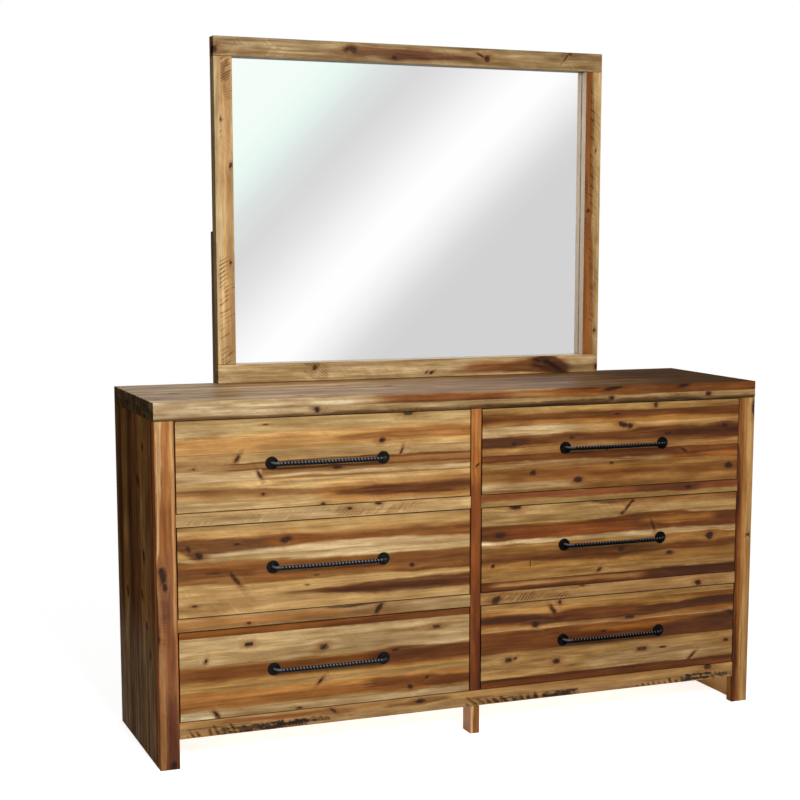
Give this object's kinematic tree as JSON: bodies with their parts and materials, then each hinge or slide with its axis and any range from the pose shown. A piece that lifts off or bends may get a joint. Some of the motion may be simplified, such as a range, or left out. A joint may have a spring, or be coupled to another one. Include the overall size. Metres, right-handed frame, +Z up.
{
  "type": "dresser with mirror",
  "caption": "Rustic dresser of banded acacia boards with drawers on twisted iron handles, and a framed mirror standing on its top.",
  "frame": {"origin": "on the floor, under the middle of the whole piece", "axes": "+X to the right along the drawer fronts seen from the front, +Y from the front to the back, +Z up"},
  "size_m": [1.69, 0.5151, 1.8273],
  "materials": {
    "slab": "clear satin lacquer over brown stained acacia boards",
    "side": "clear satin lacquer over dark stained acacia boards",
    "stile": "clear satin lacquer over reddish-brown acacia",
    "rail": "clear satin lacquer over golden acacia with saw marks",
    "front": "clear satin lacquer over golden and dark banded acacia boards",
    "box": "sealed pale softwood",
    "inner": "plain unfinished plywood",
    "iron": "black hammered iron with a soft sheen",
    "glass": "silvered flat mirror"
  },
  "bodies": {
    "case": {"left_side_panel": "side", "right_side_panel": "side", "left_front_stile": "stile", "right_front_stile": "stile", "centre_partition": "inner", "top_slab": "slab", "bottom_rail": "rail", "centre_stile": "stile", "lower_left_divider": "rail", "lower_right_divider": "rail", "upper_left_divider": "rail", "upper_right_divider": "rail", "case_bottom": "inner", "back_panel": "inner", "centre_foot": "stile", "mirror_bottom_rail": "rail", "mirror_top_rail": "rail", "mirror_left_stile": "stile", "mirror_right_stile": "stile", "mirror_glass": "glass", "mirror_backing": "inner", "left_mirror_support": "side", "right_mirror_support": "side"},
    "top_left_drawer": {"top_left_drawer_front": "front", "top_left_drawer_left_side": "box", "top_left_drawer_right_side": "box", "top_left_drawer_back": "box", "top_left_drawer_bottom": "inner", "top_left_drawer_handle": "iron"},
    "middle_left_drawer": {"middle_left_drawer_front": "front", "middle_left_drawer_left_side": "box", "middle_left_drawer_right_side": "box", "middle_left_drawer_back": "box", "middle_left_drawer_bottom": "inner", "middle_left_drawer_handle": "iron"},
    "bottom_left_drawer": {"bottom_left_drawer_front": "front", "bottom_left_drawer_left_side": "box", "bottom_left_drawer_right_side": "box", "bottom_left_drawer_back": "box", "bottom_left_drawer_bottom": "inner", "bottom_left_drawer_handle": "iron"},
    "top_right_drawer": {"top_right_drawer_front": "front", "top_right_drawer_left_side": "box", "top_right_drawer_right_side": "box", "top_right_drawer_back": "box", "top_right_drawer_bottom": "inner", "top_right_drawer_handle": "iron"},
    "middle_right_drawer": {"middle_right_drawer_front": "front", "middle_right_drawer_left_side": "box", "middle_right_drawer_right_side": "box", "middle_right_drawer_back": "box", "middle_right_drawer_bottom": "inner", "middle_right_drawer_handle": "iron"},
    "bottom_right_drawer": {"bottom_right_drawer_front": "front", "bottom_right_drawer_left_side": "box", "bottom_right_drawer_right_side": "box", "bottom_right_drawer_back": "box", "bottom_right_drawer_bottom": "inner", "bottom_right_drawer_handle": "iron"}
  },
  "joints": [
    {"name": "top_left_drawer_slide", "type": "slide", "parent": "case", "child": "top_left_drawer", "axis": [0, -1, 0], "range_m": [0, 0.32]},
    {"name": "middle_left_drawer_slide", "type": "slide", "parent": "case", "child": "middle_left_drawer", "axis": [0, -1, 0], "range_m": [0, 0.32]},
    {"name": "bottom_left_drawer_slide", "type": "slide", "parent": "case", "child": "bottom_left_drawer", "axis": [0, -1, 0], "range_m": [0, 0.32]},
    {"name": "top_right_drawer_slide", "type": "slide", "parent": "case", "child": "top_right_drawer", "axis": [0, -1, 0], "range_m": [0, 0.32]},
    {"name": "middle_right_drawer_slide", "type": "slide", "parent": "case", "child": "middle_right_drawer", "axis": [0, -1, 0], "range_m": [0, 0.32]},
    {"name": "bottom_right_drawer_slide", "type": "slide", "parent": "case", "child": "bottom_right_drawer", "axis": [0, -1, 0], "range_m": [0, 0.32]}
  ]
}
